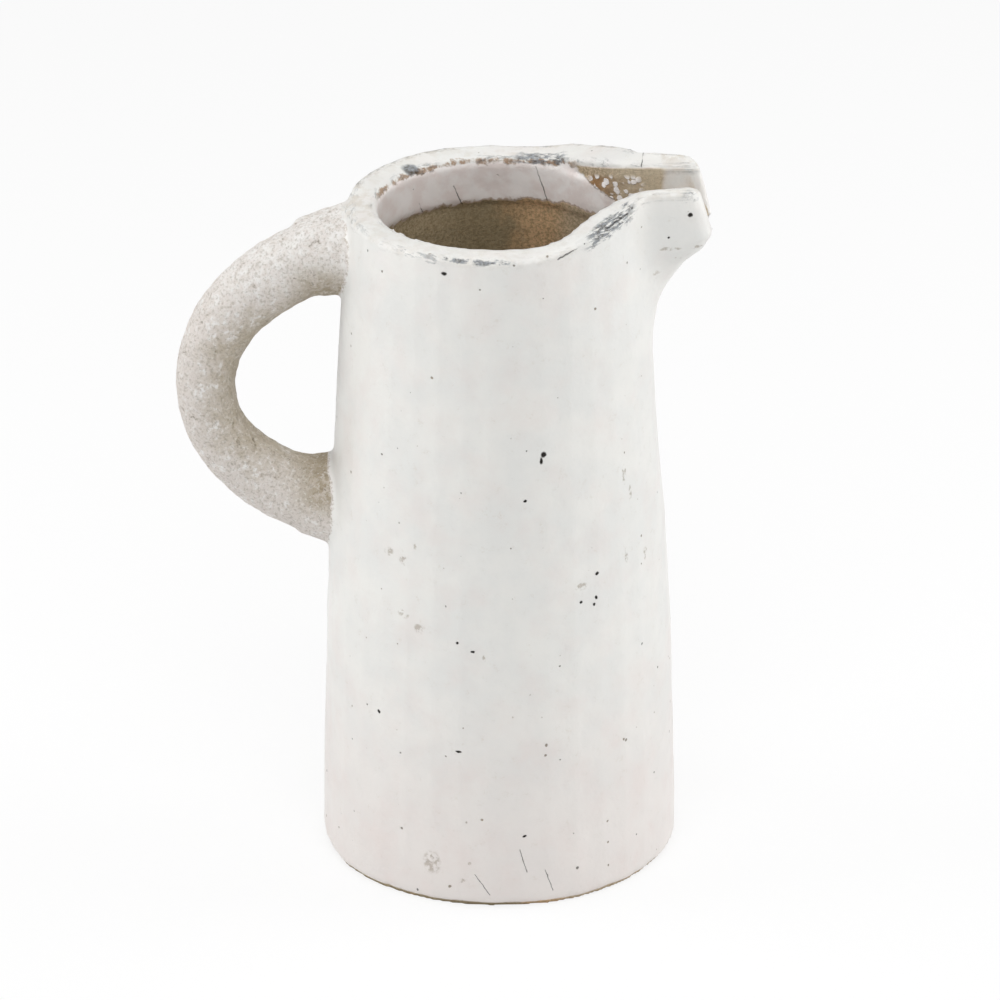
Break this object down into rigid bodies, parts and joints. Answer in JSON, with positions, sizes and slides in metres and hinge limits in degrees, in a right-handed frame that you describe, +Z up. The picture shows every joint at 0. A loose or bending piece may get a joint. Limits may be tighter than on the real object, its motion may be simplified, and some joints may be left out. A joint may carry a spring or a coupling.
{
  "type": "pitcher",
  "caption": "Tall hand-built clay pitcher with a slightly tapered body, pulled pouring spout, round looped handle and chipped white glaze",
  "frame": {"origin": "centre of the flat underside of the base, on the surface it stands on", "axes": "+Z up along the body, +X towards the pouring spout with the handle towards -X, +Y across, to the pitcher's left seen from behind the handle"},
  "size_m": [0.217, 0.1458, 0.2924],
  "materials": {
    "clay": "bare fired clay, rough, olive brown",
    "washed_clay": "coarse fired clay with a thin chalky lime wash",
    "white_glaze": "off-white satin glaze, pitted and chipped",
    "neck_glaze": "thin mauve-white crackled glaze inside the neck"
  },
  "bodies": {
    "root": {"base_slab": "clay", "body_wall": "clay", "rim_coil": "clay", "spout": "clay", "handle": "washed_clay", "upper_handle_collar": "washed_clay", "lower_handle_collar": "washed_clay", "body_glaze": "white_glaze", "neck_glaze": "neck_glaze"}
  },
  "joints": []
}
